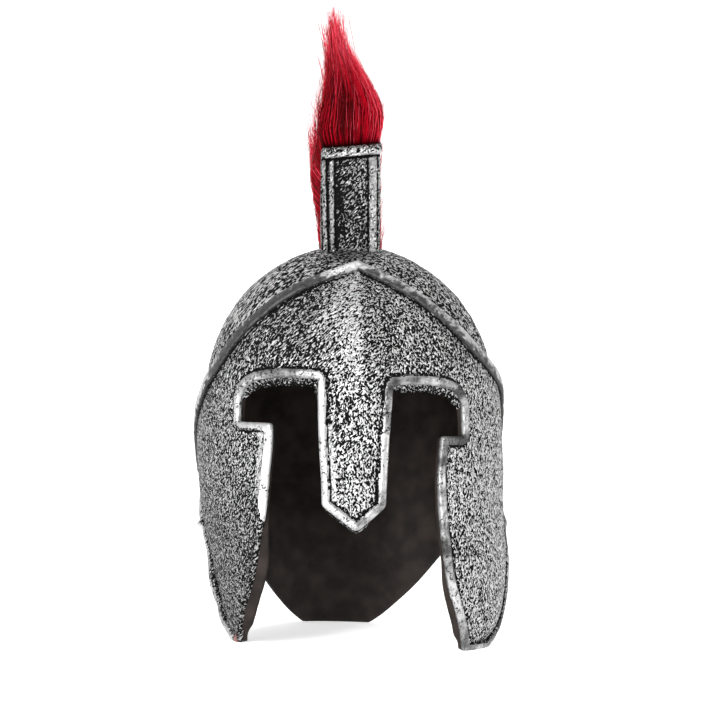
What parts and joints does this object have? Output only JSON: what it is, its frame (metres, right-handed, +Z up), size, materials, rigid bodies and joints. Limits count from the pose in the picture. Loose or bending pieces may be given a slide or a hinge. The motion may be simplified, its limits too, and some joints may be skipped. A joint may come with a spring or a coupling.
{
  "type": "roman costume helmet with crest and plume",
  "caption": "Open-faced roman style costume helmet: moulded bowl with neck guard, face guard with nasal and cheek guards, raised brow band, crest box and red fur plume.",
  "frame": {"origin": "middle of the bounding box's bottom, on the surface that the helmet rests on", "axes": "+Z up, the face looks along -Y, +X is the wearer's left side"},
  "size_m": [0.2546, 0.383, 0.4841],
  "materials": {
    "hammered_silver": "antique silver paint rubbed over black on a finely pitted, hammered skin",
    "bright_silver": "smooth worn silver paint with dark specks on raised borders",
    "red_fur": "deep red long-pile faux fur"
  },
  "bodies": {
    "root": {"skull": "hammered_silver", "face_guard": "hammered_silver", "brow_band": "bright_silver", "face_rim": "bright_silver", "crest_box": "hammered_silver", "crest_lip": "bright_silver", "plume": "red_fur"}
  },
  "joints": []
}
